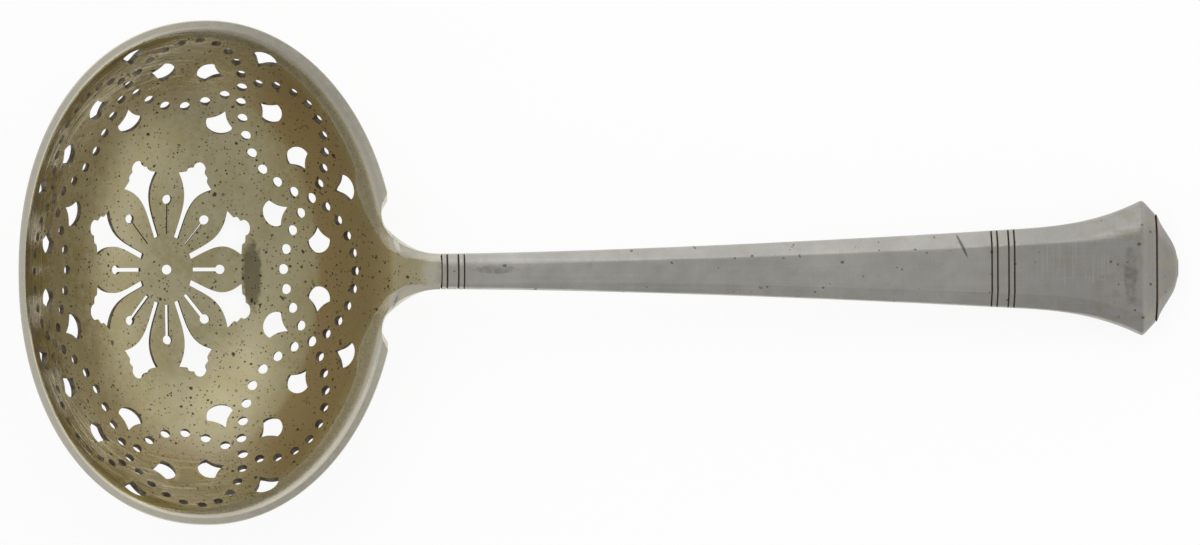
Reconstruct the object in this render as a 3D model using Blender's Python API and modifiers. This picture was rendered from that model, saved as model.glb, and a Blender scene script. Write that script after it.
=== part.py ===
"""Sugar sifter spoon: a pierced oval bowl on a hollow, chamfered handle. Metres, +Z up."""

import math

import bmesh
import bpy
from mathutils import Matrix, Vector

# Bowl
RIM_LENGTH = 0.0540
RIM_WIDTH = 0.0696
BOWL_DEPTH = 0.0200
BOWL_WALL = 0.0009
TIP_SQUARENESS = 2.15
NECK_SQUARENESS = 2.0
END_FULLNESS = 2.5
SIDE_FULLNESS = 3.1
WALL_TURN = 1.22
RIM_UPRIGHT = 0.975
RIM_OVERRUN = 0.999
BOWL_SEGMENTS = 56
BOWL_RINGS = 13

# Piercing: radii are shares of the rim, bearings run round the bowl from the neck
SECTORS = 8
PIERCE_MARGIN = 0.0012
HUB_HOLE = 0.0013
PETAL_STEM = 0.14
PETAL_SHOULDER = 0.39
PETAL_TIP = 0.472
PETAL_STEM_HALF = 0.013
PETAL_SHOULDER_HALF = 0.084
PETAL_FLARE = 2.3
PETAL_STEPS = 5
PETAL_LOBES = ((0.20, 0.60), (0.45, 0.64), (0.55, 0.34), (0.85, 0.30), (1.0, 0.12))
PIN_ROOT = 0.145
PIN_HEAD = 0.287
PIN_HEAD_DIAMETER = 0.0013
PIN_SLOT = 0.0004
PIN_HEAD_STEPS = 8
DOT_DIAMETER = 0.0013
DOT_SIDES = 6
BORDER_END = 0.755
BORDER_SIDE = 0.820
WAVE_IN = 0.155
WAVE_OUT = 0.126
WAVE_FULLNESS = 0.75
PITCH_IN = 0.00285
PITCH_OUT = 0.00250
ARC_SAMPLES = 48
TULIP_WIDTH = 0.0033
TULIP_LENGTH = 0.0032
TULIP_CORNER = 0.04
TULIP_HOLLOW = 0.00022
TULIP_STEPS = 4
TULIP_IN = 0.158
TULIP_OUT = 0.122
TULIP_ASIDE = math.radians(13.0)

# Neck and tang
HANDLE_RISE = math.radians(11.0)
NECK_LENGTH = 0.0070
NECK_BITE = 0.0034
NECK_ROOT_DROP = 0.0010
NECK_STEPS = 10
NOTCH_LENGTH = 0.0086
NOTCH_WIDTH = 0.0059
NOTCH_LEAN = math.radians(18.0)
NOTCH_SIDES = 48
CREST_LENGTH = 0.0030
CREST_STEPS = 6
TANG_LENGTH = 0.0360
TANG_WIDTH = 0.0022
TANG_THICKNESS = 0.0010

# Handle: sizes at the collar, at the lined band and at the flared end
STEM_LENGTH = 0.0796
STEM_SWELL = 1.5
COLLAR_HALF_WIDTH = 0.00246
BAND_HALF_WIDTH = 0.00546
FLARE_LENGTH = 0.0180
FLARE_HALF_WIDTH = 0.00942
FLARE_CURVE = 2.8
COLLAR_HALF_THICKNESS = 0.00165
BAND_HALF_THICKNESS = 0.00250
FLARE_HALF_THICKNESS = 0.00320
COLLAR_BEVEL = 0.00125
BAND_BEVEL = 0.00220
FLARE_BEVEL = 0.00360
BEVEL_SLOPE = 0.60
SHELL_WALL = 0.0005
END_CHAMFER = 0.0018
SEAT_SIDE_STEP = 0.0019
SEAT_FACE_STEP = 0.0010
SEAT_BEVEL = 0.0024
COLLAR_LENGTH = 0.00315
LINE_PAIR = 0.0008
LINE_WIDTH = 0.00024
LINE_DEPTH = 0.00014
STEM_STATIONS = 9
FLARE_STATIONS = 8

# End cap
CAP_LENGTH = 0.0033
CAP_CURVE = 0.8
CAP_TIP_SHARE = 0.97
CAP_STATIONS = 7
SPIGOT_LENGTH = 0.0060
SPIGOT_WIDTH = 0.0080
SPIGOT_THICKNESS = 0.0018
SPIGOT_BEVEL = 0.0006

# Fits
SEAT_GAP = 0.00015
SEAM_GAP = 0.0001
CORE_GAP = 0.0003
CORE_SHORT = 0.0010

HALF_LENGTH = RIM_LENGTH / 2 - BOWL_WALL
HALF_WIDTH = RIM_WIDTH / 2 - BOWL_WALL
SECTOR = 2 * math.pi / SECTORS
HANDLE_LENGTH = STEM_LENGTH + FLARE_LENGTH
CAP_START = HANDLE_LENGTH + END_CHAMFER + SEAM_GAP
SURFACE_STEP = 0.002
SHARP_ANGLE = math.radians(40.0)
STEEPEST_PITCH = math.radians(45.0)
PITCH_HALVINGS = 40

for old in list(bpy.data.objects):
    bpy.data.objects.remove(old, do_unlink=True)

parts = bpy.data.collections.new("sugar_sifter_spoon")
cutters = bpy.data.collections.new("cutters")
bpy.context.scene.collection.children.link(parts)
bpy.context.scene.collection.children.link(cutters)


# Materials and objects
def metal(name, color, roughness, metallic=1.0):
    material = bpy.data.materials.new(name)
    material.use_nodes = True
    shader = material.node_tree.nodes["Principled BSDF"]
    shader.inputs["Base Color"].default_value = (*color, 1.0)
    shader.inputs["Roughness"].default_value = roughness
    shader.inputs["Metallic"].default_value = metallic
    return material


def empty(name, parent=None, location=(0, 0, 0), rotation=(0, 0, 0)):
    guide = bpy.data.objects.new(name, None)
    guide.location = location
    guide.rotation_euler = rotation
    guide.parent = parent
    parts.objects.link(guide)
    return guide


def add_object(name, bm, parent, material=None):
    mesh = bpy.data.meshes.new(name)
    bm.to_mesh(mesh)
    bm.free()
    thing = bpy.data.objects.new(name, mesh)
    thing.parent = parent
    if material is None:
        cutters.objects.link(thing)
        thing.hide_render = True
        thing.display_type = "WIRE"
    else:
        parts.objects.link(thing)
        mesh.materials.append(material)
    return thing


def cut(thing, cutter):
    boolean = thing.modifiers.new(cutter.name, "BOOLEAN")
    boolean.operation = "DIFFERENCE"
    boolean.solver = "EXACT"
    boolean.object = cutter


def smooth(thing):
    thing.data.shade_smooth()
    thing.data.set_sharp_from_angle(angle=SHARP_ANGLE)


# Bowl surface: a point from its share of the rim and its bearing from the neck
def fullness(bearing):
    return END_FULLNESS + (SIDE_FULLNESS - END_FULLNESS) * math.sin(bearing) ** 2


def rim_reach(bearing):
    power = NECK_SQUARENESS if math.cos(bearing) > 0 else TIP_SQUARENESS
    total = abs(math.cos(bearing)) ** power + abs(math.sin(bearing)) ** power
    return total ** (-1 / power)


def bowl_point(share, bearing):
    reach = share * rim_reach(bearing)
    level = max(1 - RIM_UPRIGHT * share ** fullness(bearing), 0.0)
    height = (1 - level ** (1 / WALL_TURN)) / (1 - (1 - RIM_UPRIGHT) ** (1 / WALL_TURN))
    return Vector((
        HALF_LENGTH * reach * math.cos(bearing),
        HALF_WIDTH * reach * math.sin(bearing),
        BOWL_DEPTH * height))


def bowl_frame(share, bearing):
    """Directions outward along the surface, round the bowl, and into the hollow."""
    along = bowl_point(share + SURFACE_STEP, bearing) - bowl_point(share - SURFACE_STEP, bearing)
    around = bowl_point(share, bearing + SURFACE_STEP) - bowl_point(share, bearing - SURFACE_STEP)
    outward = along.normalized()
    inward = outward.cross(around).normalized()
    return outward, inward.cross(outward), inward


def overrun(bearing):
    return (RIM_OVERRUN / RIM_UPRIGHT) ** (1 / fullness(bearing))


def bowl_sheet(outset):
    """Open bowl surface from the lower half of a ball, grown outward by outset."""
    bm = bmesh.new()
    bmesh.ops.create_uvsphere(bm, u_segments=BOWL_SEGMENTS, v_segments=2 * BOWL_RINGS, radius=1.0)
    upper = [vert for vert in bm.verts if vert.co.z > SURFACE_STEP]
    bmesh.ops.delete(bm, geom=upper, context="VERTS")
    for vert in bm.verts:
        share = math.hypot(vert.co.x, vert.co.y)
        bearing = math.atan2(vert.co.y, vert.co.x)
        share *= overrun(bearing)
        inward = Vector((0, 0, 1))
        if share > SURFACE_STEP:
            inward = bowl_frame(min(share, 1.0), bearing)[2]
        vert.co = bowl_point(share, bearing) - outset * inward
    return bm


# Piercing
def add_prism(bm, centre, axes, outline):
    outward, around, inward = axes
    below = BOWL_WALL + PIERCE_MARGIN
    base = [centre + outward * a + around * b - inward * below for a, b in outline]
    face = bm.faces.new([bm.verts.new(point) for point in base])
    raised = bmesh.ops.extrude_face_region(bm, geom=[face])["geom"]
    moved = [item for item in raised if isinstance(item, bmesh.types.BMVert)]
    bmesh.ops.translate(bm, verts=moved, vec=inward * (below + PIERCE_MARGIN))


def round_outline(diameter, sides):
    return [(diameter / 2 * math.cos(2 * math.pi * k / sides),
             diameter / 2 * math.sin(2 * math.pi * k / sides)) for k in range(sides)]


def tulip_outline(turn):
    """A point towards the crossing, two hollow edges to the side corners, a round end away from it."""
    tip, corner = -TULIP_LENGTH / 2, TULIP_CORNER * TULIP_LENGTH
    slant = math.hypot(corner - tip, TULIP_WIDTH / 2)
    middle = ((tip + corner) / 2 + TULIP_HOLLOW * TULIP_WIDTH / 2 / slant,
              TULIP_WIDTH / 4 - TULIP_HOLLOW * (corner - tip) / slant)
    points = [(tip, 0.0), middle]
    for k in range(TULIP_STEPS + 1):
        angle = math.pi / 2 - math.pi * k / TULIP_STEPS
        reach = (TULIP_LENGTH / 2 - corner) * math.cos(angle)
        points.append((corner + reach, TULIP_WIDTH / 2 * math.sin(angle)))
    points.append((middle[0], -middle[1]))
    return [(a * math.cos(turn) - b * math.sin(turn), a * math.sin(turn) + b * math.cos(turn))
            for a, b in points]


def petal_sides():
    """One side of a petal as (share of the rim, half width): stem, flare, then lobed head."""
    rise = PETAL_SHOULDER - PETAL_STEM
    side = []
    for k in range(PETAL_STEPS + 1):
        part = k / PETAL_STEPS
        half = PETAL_STEM_HALF + (PETAL_SHOULDER_HALF - PETAL_STEM_HALF) * part ** PETAL_FLARE
        side.append((PETAL_STEM + rise * part, half))
    head = PETAL_TIP - PETAL_SHOULDER
    return side + [(PETAL_SHOULDER + head * a, PETAL_SHOULDER_HALF * b) for a, b in PETAL_LOBES]


def flatten(points, centre, axes):
    outward, around = axes[0], axes[1]
    return [((p - centre).dot(outward), (p - centre).dot(around)) for p in points]


def add_petal(bm, bearing):
    side = petal_sides()
    loop = side + [(share, -half) for share, half in reversed(side)]
    points = [bowl_point(math.hypot(a, b), bearing + math.atan2(b, a)) for a, b in loop]
    middle = (PETAL_STEM + PETAL_TIP) / 2
    centre = bowl_point(middle, bearing)
    axes = bowl_frame(middle, bearing)
    add_prism(bm, centre, axes, flatten(points, centre, axes))


def add_pin(bm, bearing):
    centre = bowl_point(PIN_HEAD, bearing)
    axes = bowl_frame(PIN_HEAD, bearing)
    root = flatten([bowl_point(PIN_ROOT, bearing)], centre, axes)[0][0]
    radius = PIN_HEAD_DIAMETER / 2
    neck = math.asin(PIN_SLOT / PIN_HEAD_DIAMETER)
    outline = [(root, PIN_SLOT / 2), (root, -PIN_SLOT / 2)]
    for k in range(PIN_HEAD_STEPS + 1):
        angle = -math.pi + neck + (2 * math.pi - 2 * neck) * k / PIN_HEAD_STEPS
        outline.append((radius * math.cos(angle), radius * math.sin(angle)))
    add_prism(bm, centre, axes, outline)


def border_share(bearing):
    return BORDER_END + (BORDER_SIDE - BORDER_END) * math.sin(bearing) ** 2


def add_chain(bm, first, swing, pitch):
    """Dots evenly spaced between two crossings, on an arc that swings in or out."""
    arc = []
    for k in range(ARC_SAMPLES + 1):
        bearing = first + SECTOR * k / ARC_SAMPLES
        arch = max(math.sin(math.pi * k / ARC_SAMPLES), 0.0) ** WAVE_FULLNESS
        arc.append((border_share(bearing) + swing * arch, bearing))
    points = [bowl_point(*place) for place in arc]
    run = [0.0]
    for a, b in zip(points, points[1:]):
        run.append(run[-1] + (b - a).length)
    intervals = round(run[-1] / pitch)
    for n in range(1, intervals):
        target = run[-1] * n / intervals
        k = next(i for i in range(ARC_SAMPLES) if run[i + 1] >= target)
        part = (target - run[k]) / (run[k + 1] - run[k])
        place = [a + (b - a) * part for a, b in zip(arc[k], arc[k + 1])]
        add_dot(bm, *place)


def add_dot(bm, share, bearing):
    outline = round_outline(DOT_DIAMETER, DOT_SIDES)
    add_prism(bm, bowl_point(share, bearing), bowl_frame(share, bearing), outline)


def add_tulips(bm, bearing):
    middle = border_share(bearing)
    places = (
        (middle - TULIP_IN, bearing, math.pi),
        (middle + TULIP_OUT, bearing, 0.0),
        (border_share(bearing + TULIP_ASIDE), bearing + TULIP_ASIDE, math.pi / 2),
        (border_share(bearing - TULIP_ASIDE), bearing - TULIP_ASIDE, -math.pi / 2))
    for share, place, turn in places:
        add_prism(bm, bowl_point(share, place), bowl_frame(share, place), tulip_outline(turn))


def piercing_mesh():
    bm = bmesh.new()
    hub = (Vector((1, 0, 0)), Vector((0, 1, 0)), Vector((0, 0, 1)))
    add_prism(bm, Vector((0, 0, 0)), hub, round_outline(HUB_HOLE, DOT_SIDES))
    for k in range(SECTORS):
        pin = SECTOR * k
        crossing = pin + SECTOR / 2
        add_pin(bm, pin)
        add_petal(bm, crossing)
        add_dot(bm, border_share(crossing), crossing)
        add_tulips(bm, crossing)
        add_chain(bm, crossing, -WAVE_IN, PITCH_IN)
        add_chain(bm, crossing, WAVE_OUT, PITCH_OUT)
    bmesh.ops.recalc_face_normals(bm, faces=bm.faces)
    return bm


# Lofts: rings of points joined in order
def loft(rings):
    bm = bmesh.new()
    rows = [[bm.verts.new(point) for point in ring] for ring in rings]
    for row, following in zip(rows, rows[1:]):
        for k in range(len(row)):
            j = (k + 1) % len(row)
            bm.faces.new((row[k], row[j], following[j], following[k]))
    bm.faces.new(rows[0][::-1])
    bm.faces.new(rows[-1])
    bmesh.ops.recalc_face_normals(bm, faces=bm.faces)
    return bm


def sheet(rows):
    bm = bmesh.new()
    lines = [[bm.verts.new(point) for point in row] for row in rows]
    for line, following in zip(lines, lines[1:]):
        for k in range(len(line) - 1):
            bm.faces.new((line[k], line[k + 1], following[k + 1], following[k]))
    return bm


# Handle section: half width, flat's half width, half thickness and side's half height
def handle_section(along, inset=0.0):
    stem = min(along, STEM_LENGTH) / STEM_LENGTH
    flare = max(along - STEM_LENGTH, 0.0) / FLARE_LENGTH
    swell = BAND_HALF_WIDTH - COLLAR_HALF_WIDTH
    slope = STEM_SWELL * swell / STEM_LENGTH * FLARE_LENGTH
    bulge = FLARE_HALF_WIDTH - BAND_HALF_WIDTH - slope
    wide = COLLAR_HALF_WIDTH + swell * stem ** STEM_SWELL + slope * flare + bulge * flare ** FLARE_CURVE
    thick = COLLAR_HALF_THICKNESS + (BAND_HALF_THICKNESS - COLLAR_HALF_THICKNESS) * stem
    thick += (FLARE_HALF_THICKNESS - BAND_HALF_THICKNESS) * flare ** 2
    bevel = COLLAR_BEVEL + (BAND_BEVEL - COLLAR_BEVEL) * stem
    bevel += (FLARE_BEVEL - BAND_BEVEL) * flare ** 2
    return inset_section((wide, wide - bevel, thick, thick - BEVEL_SLOPE * bevel), inset)


def inset_section(section, inset):
    wide, flat, thick, side = section
    tall, long = thick - side, wide - flat
    length = math.hypot(tall, long)
    level = (tall * wide + long * side) / length - inset
    new_side = (level * length - tall * (wide - inset)) / long
    new_flat = (level * length - long * (thick - inset)) / tall
    return wide - inset, new_flat, thick - inset, new_side


def seat_section(inset=0.0):
    wide = FLARE_HALF_WIDTH - SEAT_SIDE_STEP
    thick = FLARE_HALF_THICKNESS - SEAT_FACE_STEP
    return inset_section((wide, wide - SEAT_BEVEL, thick, thick - BEVEL_SLOPE * SEAT_BEVEL), inset)


def octagon(along, section):
    wide, flat, thick, side = section
    upper = [(wide, side), (flat, thick), (-flat, thick), (-wide, side)]
    lower = [(-a, -b) for a, b in upper]
    return [(along, a, b) for a, b in upper + lower]


def half_octagon(along, section, sign):
    wide, flat, thick, side = section
    edge = SEAM_GAP / 2
    points = [(wide, edge), (wide, side), (flat, thick), (-flat, thick), (-wide, side), (-wide, edge)]
    row = [(along, a, sign * b) for a, b in points]
    return row if sign > 0 else row[::-1]


def box_rings(start, end, half_width, half_thickness):
    corners = [(half_width, half_thickness), (-half_width, half_thickness),
               (-half_width, -half_thickness), (half_width, -half_thickness)]
    return [[(along, a, b) for a, b in corners] for along in (start, end)]


def line_places(start):
    return (start, start + LINE_PAIR, start + COLLAR_LENGTH - LINE_PAIR, start + COLLAR_LENGTH)


def line_cut(line):
    return [(line - LINE_WIDTH / 2, 0.0), (line, LINE_DEPTH), (line + LINE_WIDTH / 2, 0.0)]


def plain_places():
    first = COLLAR_LENGTH + SEAM_GAP
    places = [first + (STEM_LENGTH - first) * k / STEM_STATIONS for k in range(STEM_STATIONS)]
    return places + [STEM_LENGTH + FLARE_LENGTH * k / FLARE_STATIONS for k in range(FLARE_STATIONS + 1)]


def shell_stations():
    """Places along a shell with how far each is cut in: V lines at the lined band."""
    lines = line_places(STEM_LENGTH - COLLAR_LENGTH)
    clear = [place for place in plain_places() if min(abs(place - line) for line in lines) > LINE_WIDTH]
    stations = [(place, 0.0) for place in clear]
    for line in lines:
        stations += line_cut(line)
    return sorted(stations)


def make_shell(name, sign, material):
    rows = [half_octagon(place, handle_section(place, depth), sign) for place, depth in shell_stations()]
    rows.append(half_octagon(HANDLE_LENGTH + END_CHAMFER, seat_section(), sign))
    shell = add_object(name, sheet(rows), handle, material)
    solidify = shell.modifiers.new("wall", "SOLIDIFY")
    solidify.thickness = SHELL_WALL
    solidify.offset = -1.0
    return shell


def make_collar(material):
    first, last = SEAM_GAP, COLLAR_LENGTH - SEAM_GAP / 2
    places = [(first, 0.0)]
    for line in line_places(0.0)[1:3]:
        places += line_cut(line)
    places.append((last, 0.0))
    rings = [octagon(place, handle_section(place, depth)) for place, depth in places]
    collar = add_object("neck_collar", loft(rings), handle, material)
    cut(collar, tang_socket)
    return collar


def make_core(material):
    inset = SHELL_WALL + CORE_GAP
    places = plain_places()[:-1] + [HANDLE_LENGTH - CORE_SHORT]
    rings = [octagon(place, handle_section(place, inset)) for place in places]
    core = add_object("handle_core", loft(rings), handle, material)
    cut(core, tang_socket)
    cut(core, spigot_socket)
    return core


def make_cap(material):
    base = seat_section(SEAM_GAP)
    wide, thick = SPIGOT_WIDTH / 2, SPIGOT_THICKNESS / 2
    spigot = (wide, wide - SPIGOT_BEVEL, thick, thick - BEVEL_SLOPE * SPIGOT_BEVEL)
    rings = [octagon(place, spigot) for place in (CAP_START - SPIGOT_LENGTH, CAP_START)]
    for k in range(CAP_STATIONS + 1):
        part = CAP_TIP_SHARE * k / CAP_STATIONS
        scale = (1 - part) ** CAP_CURVE
        rings.append(octagon(CAP_START + CAP_LENGTH * part, [size * scale for size in base]))
    return add_object("end_cap", loft(rings), handle, material)


# Neck: its plan narrows between the two notches, its root lies against the bowl's wall
def neck_half_width(along):
    part = min(-along / NOTCH_LENGTH, 1.0)
    return COLLAR_HALF_WIDTH + NOTCH_WIDTH * (1 - math.sqrt(1 - part * part))


def make_neck(material):
    top = COLLAR_HALF_THICKNESS
    rings = []
    root = -NECK_LENGTH - NECK_BITE
    for k in range(NECK_STEPS + 1):
        along = root * (1 - k / NECK_STEPS)
        wide = neck_half_width(along)
        drop = top - NECK_ROOT_DROP * along / root
        bevel = COLLAR_BEVEL * (1 - along / root)
        low = [(wide, 0.0), (wide - bevel, -drop), (bevel - wide, -drop), (-wide, 0.0)]
        rise = top - BEVEL_SLOPE * bevel
        high = [(-wide, rise), (bevel - wide, top), (wide - bevel, top), (wide, rise)]
        rings.append([(along, a, b) for a, b in low + high])
    half, thin = TANG_WIDTH / 2, TANG_THICKNESS / 2
    tang = [(half, 0.0), (half, -thin), (-half, -thin), (-half, 0.0),
            (-half, thin / 2), (-half, thin), (half, thin), (half, thin / 2)]
    rings += [[(along, a, b) for a, b in tang] for along in (0.0, TANG_LENGTH)]
    neck = add_object("neck_shank", loft(rings), handle, material)
    cut(neck, bowl_block)
    cut(neck, crest_cutter)
    return neck


def notch_mesh(side):
    bm = bmesh.new()
    bmesh.ops.create_cone(
        bm, cap_ends=True, segments=NOTCH_SIDES, radius1=1.0, radius2=1.0, depth=2 * BOWL_DEPTH)
    bmesh.ops.scale(bm, verts=bm.verts, vec=(NOTCH_LENGTH, NOTCH_WIDTH, 1.0))
    lean = Matrix.Rotation(-NOTCH_LEAN, 3, "Y")
    bmesh.ops.rotate(bm, verts=bm.verts, cent=(0, 0, 0), matrix=lean)
    centre = (handle.location.x, side * (COLLAR_HALF_WIDTH + NOTCH_WIDTH), BOWL_DEPTH)
    bmesh.ops.translate(bm, verts=bm.verts, vec=centre)
    return bm


def crest_mesh():
    """Rounds the edge where the bowl's inner wall turns over into the neck."""
    corner = Vector((HALF_LENGTH, 0, BOWL_DEPTH))
    down = -bowl_frame(1.0, 0.0)[0]
    out = Vector((math.cos(HANDLE_RISE), 0, math.sin(HANDLE_RISE)))
    profile = []
    for k in range(CREST_STEPS + 1):
        part = k / CREST_STEPS
        pull = down * (1 - part) ** 2 + out * part ** 2
        profile.append(corner + pull * CREST_LENGTH)
    profile.append(corner + out * CREST_LENGTH + Vector((0, 0, CREST_LENGTH)))
    profile.append(corner + down * CREST_LENGTH + Vector((-CREST_LENGTH, 0, 0)))
    half = Vector((0, neck_half_width(-NECK_LENGTH), 0))
    return loft([[point - half for point in profile], [point + half for point in profile]])


def rim_trim_mesh():
    bm = bmesh.new()
    bmesh.ops.create_cube(bm, size=1.0)
    bmesh.ops.scale(bm, verts=bm.verts, vec=(2 * RIM_LENGTH, 2 * RIM_WIDTH, BOWL_DEPTH))
    bmesh.ops.translate(bm, verts=bm.verts, vec=(0, 0, 1.5 * BOWL_DEPTH))
    return bm


def bowl_block_mesh():
    """The bowl's outer shape as a filled block, with the seat's clearance."""
    bm = bowl_sheet(BOWL_WALL + SEAT_GAP)
    edge = [e for e in bm.edges if e.is_boundary]
    bmesh.ops.contextual_create(bm, geom=edge)
    bmesh.ops.recalc_face_normals(bm, faces=bm.faces)
    return bm


def make_bowl(material):
    bowl = add_object("bowl", bowl_sheet(0.0), spoon, material)
    smooth(bowl)
    solidify = bowl.modifiers.new("wall", "SOLIDIFY")
    solidify.thickness = BOWL_WALL
    solidify.offset = 1.0
    solidify.use_even_offset = True
    for cutter in (rim_trim, crest_cutter, *notches, piercing):
        cut(bowl, cutter)
    return bowl


# Laying it down: the bowl's bottom and the handle's end both touch the ground
def lowest(points, pitch):
    return min(point.z * math.cos(pitch) - point.x * math.sin(pitch) for point in points)


def lay_down(pieces):
    graph = bpy.context.evaluated_depsgraph_get()
    points = []
    for piece in pieces:
        seen = piece.evaluated_get(graph)
        mesh = seen.to_mesh()
        points += [piece.matrix_world @ vert.co for vert in mesh.vertices]
        seen.to_mesh_clear()
    near = [point for point in points if point.x < handle.location.x]
    far = [point for point in points if point.x >= handle.location.x]
    low, high = 0.0, STEEPEST_PITCH
    for _ in range(PITCH_HALVINGS):
        pitch = (low + high) / 2
        if lowest(far, pitch) > lowest(near, pitch):
            low = pitch
        else:
            high = pitch
    turn = Matrix.Rotation(pitch, 4, "Y")
    turned = [turn @ point for point in points]
    spoon.rotation_euler = (0, pitch, 0)
    spoon.location = (
        -(min(p.x for p in turned) + max(p.x for p in turned)) / 2,
        -(min(p.y for p in turned) + max(p.y for p in turned)) / 2,
        -min(p.z for p in turned))


gilt = metal("gilt_silver", (0.55, 0.47, 0.27), 0.32)
neck_gilt = metal("gilt_neck", (0.58, 0.53, 0.36), 0.32)
silver = metal("silver", (0.62, 0.62, 0.60), 0.30)
silver_back = metal("silver_back", (0.60, 0.60, 0.58), 0.32)
silver_collar = metal("silver_collar", (0.60, 0.60, 0.57), 0.30)
silver_cap = metal("silver_cap", (0.62, 0.61, 0.58), 0.32)
cement = metal("cement", (0.35, 0.30, 0.24), 0.90, 0.0)

spoon = empty("spoon")
collar_start = Vector((HALF_LENGTH, 0, BOWL_DEPTH)) + Matrix.Rotation(-HANDLE_RISE, 3, "Y") @ Vector(
    (NECK_LENGTH, 0, -COLLAR_HALF_THICKNESS))
handle = empty("handle", spoon, collar_start, (0, -HANDLE_RISE, 0))

rim_trim = add_object("rim_trim", rim_trim_mesh(), spoon)
crest_cutter = add_object("crest_cutter", crest_mesh(), spoon)
notches = [
    add_object("notch_left", notch_mesh(1), spoon),
    add_object("notch_right", notch_mesh(-1), spoon)]
piercing = add_object("piercing", piercing_mesh(), spoon)
bowl_block = add_object("bowl_block", bowl_block_mesh(), spoon)
tang_rings = box_rings(
    -SEAM_GAP, TANG_LENGTH + SEAT_GAP, TANG_WIDTH / 2 + SEAT_GAP, TANG_THICKNESS / 2 + SEAT_GAP)
tang_socket = add_object("tang_socket", loft(tang_rings), handle)
spigot_rings = box_rings(
    CAP_START - SPIGOT_LENGTH - SEAT_GAP, CAP_START,
    SPIGOT_WIDTH / 2 + SEAT_GAP, SPIGOT_THICKNESS / 2 + SEAT_GAP)
spigot_socket = add_object("spigot_socket", loft(spigot_rings), handle)

pieces = [
    make_bowl(gilt),
    make_neck(neck_gilt),
    make_collar(silver_collar),
    make_shell("handle_front_shell", 1, silver),
    make_shell("handle_back_shell", -1, silver_back),
    make_core(cement),
    make_cap(silver_cap)]
bpy.context.view_layer.update()
lay_down(pieces)
bpy.context.view_layer.update()
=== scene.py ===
"""Looks of the sugar sifter spoon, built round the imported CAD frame. Metres, +Z up."""

import math

import bmesh
import bpy
import numpy as np
from mathutils import Matrix, Vector
from mathutils.geometry import delaunay_2d_cdt
from mathutils.kdtree import KDTree


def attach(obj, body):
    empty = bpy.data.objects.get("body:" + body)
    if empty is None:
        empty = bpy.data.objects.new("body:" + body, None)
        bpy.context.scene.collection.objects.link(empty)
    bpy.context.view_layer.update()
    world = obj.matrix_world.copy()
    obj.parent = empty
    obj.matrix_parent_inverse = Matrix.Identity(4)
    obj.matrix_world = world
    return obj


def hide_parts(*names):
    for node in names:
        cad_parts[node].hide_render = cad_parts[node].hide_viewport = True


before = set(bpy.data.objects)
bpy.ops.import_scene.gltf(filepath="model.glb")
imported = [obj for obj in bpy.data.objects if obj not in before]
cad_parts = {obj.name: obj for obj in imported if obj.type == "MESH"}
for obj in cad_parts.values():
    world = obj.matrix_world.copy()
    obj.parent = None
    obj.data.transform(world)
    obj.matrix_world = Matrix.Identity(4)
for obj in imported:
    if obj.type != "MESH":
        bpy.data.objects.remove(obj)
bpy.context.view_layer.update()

# Bowl, in millimetres in its own frame: x to the handle, z square to the rim
HALF_LENGTH = 26.1
HALF_WIDTH = 33.9
DEPTH = 20.0
WALL = 0.9
RIM_UPRIGHT = 0.975
WALL_TURN = 1.22
RIM_RISE = 4.1
RIM_SHARE = 0.9965
NEAR_SQUARENESS, FAR_SQUARENESS = 2.0, 2.15
FULLNESS, SIDE_FULLNESS = 2.5, 0.6
PITCH = math.radians(16.1432)
ORIGIN = Vector((-0.0596694, 0.0, 0.0022528))

# Piercing: shares of the rim, and millimetres
SECTORS = 8
SECTOR = 2 * math.pi / SECTORS
BORDER_END, BORDER_SIDE = 0.755, 0.820
WAVE_IN, WAVE_OUT, WAVE_FULLNESS = 0.155, 0.126, 0.75
PITCH_IN, PITCH_OUT = 2.85, 2.50
ARC_SAMPLES = 96
DOT, CROSSING_DOT, HUB_HOLE = 1.38, 1.45, 1.35
DOT_SIDES = 18
FILED_ROUND, FILED_FINE, FILED_NONE = 0.24, 0.06, 0.0
TULIP_LENGTH, TULIP_WIDTH, TULIP_CORNER, TULIP_HOLLOW = 3.8, 3.8, 0.04, 0.26
TULIP_STEPS, TULIP_END_STEPS = 7, 14
TULIP_IN, TULIP_OUT, TULIP_ASIDE = 0.158, 0.122, math.radians(13.0)
PETAL_STEM, PETAL_SHOULDER, PETAL_TIP = 0.14, 0.39, 0.472
PETAL_STEM_HALF, PETAL_SHOULDER_HALF, PETAL_FLARE = 0.012, 0.097, 4.6
PETAL_STEPS = 18
PETAL_LOBES = ((0.10, 0.84), (0.19, 0.69), (0.25, 0.615), (0.32, 0.60), (0.40, 0.60), (0.47, 0.55),
               (0.52, 0.465), (0.56, 0.375), (0.61, 0.33), (0.69, 0.335), (0.78, 0.32), (0.87, 0.265),
               (0.94, 0.185), (0.985, 0.095))
PIN_ROOT, PIN_HEAD, PIN_HEAD_SIZE = 0.145, 0.287, 1.3
PIN_SLOT, PIN_SLOT_CLOGGED, PIN_CLOGGED_PAST = 0.5, 0.16, 0.5
PIN_STEPS, SLOT_STEPS = 16, 4
PATTERN_ASIDE, PATTERN_FADE = np.array((-0.75, 0.45)), (0.65, 1.0)

# Neck and handle, in millimetres
RISE = math.radians(11.0)
NECK_LENGTH = 7.0
CREST, CREST_SIDE, CREST_FALL = 4.5, 4.5, 1.2
BAND, BAND_SLOPE, BAND_SOFTNESS, BAND_WEAR = 1.15, 0.6, 0.15, 0.45
BAND_FADE = (6.0, 8.4)
NOTCH_LENGTH, NOTCH_WIDTH = 8.6, 5.9
COLLAR_HALF_WIDTH, COLLAR_HALF_THICKNESS = 2.46, 1.65
COLLAR_LENGTH, LINE_PAIR = 3.15, 0.8
STEM_LENGTH, FLARE_LENGTH, END_CHAMFER = 79.6, 18.0, 1.8
CAP_LENGTH = 3.3
SHELL_WALL = 0.5

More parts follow.
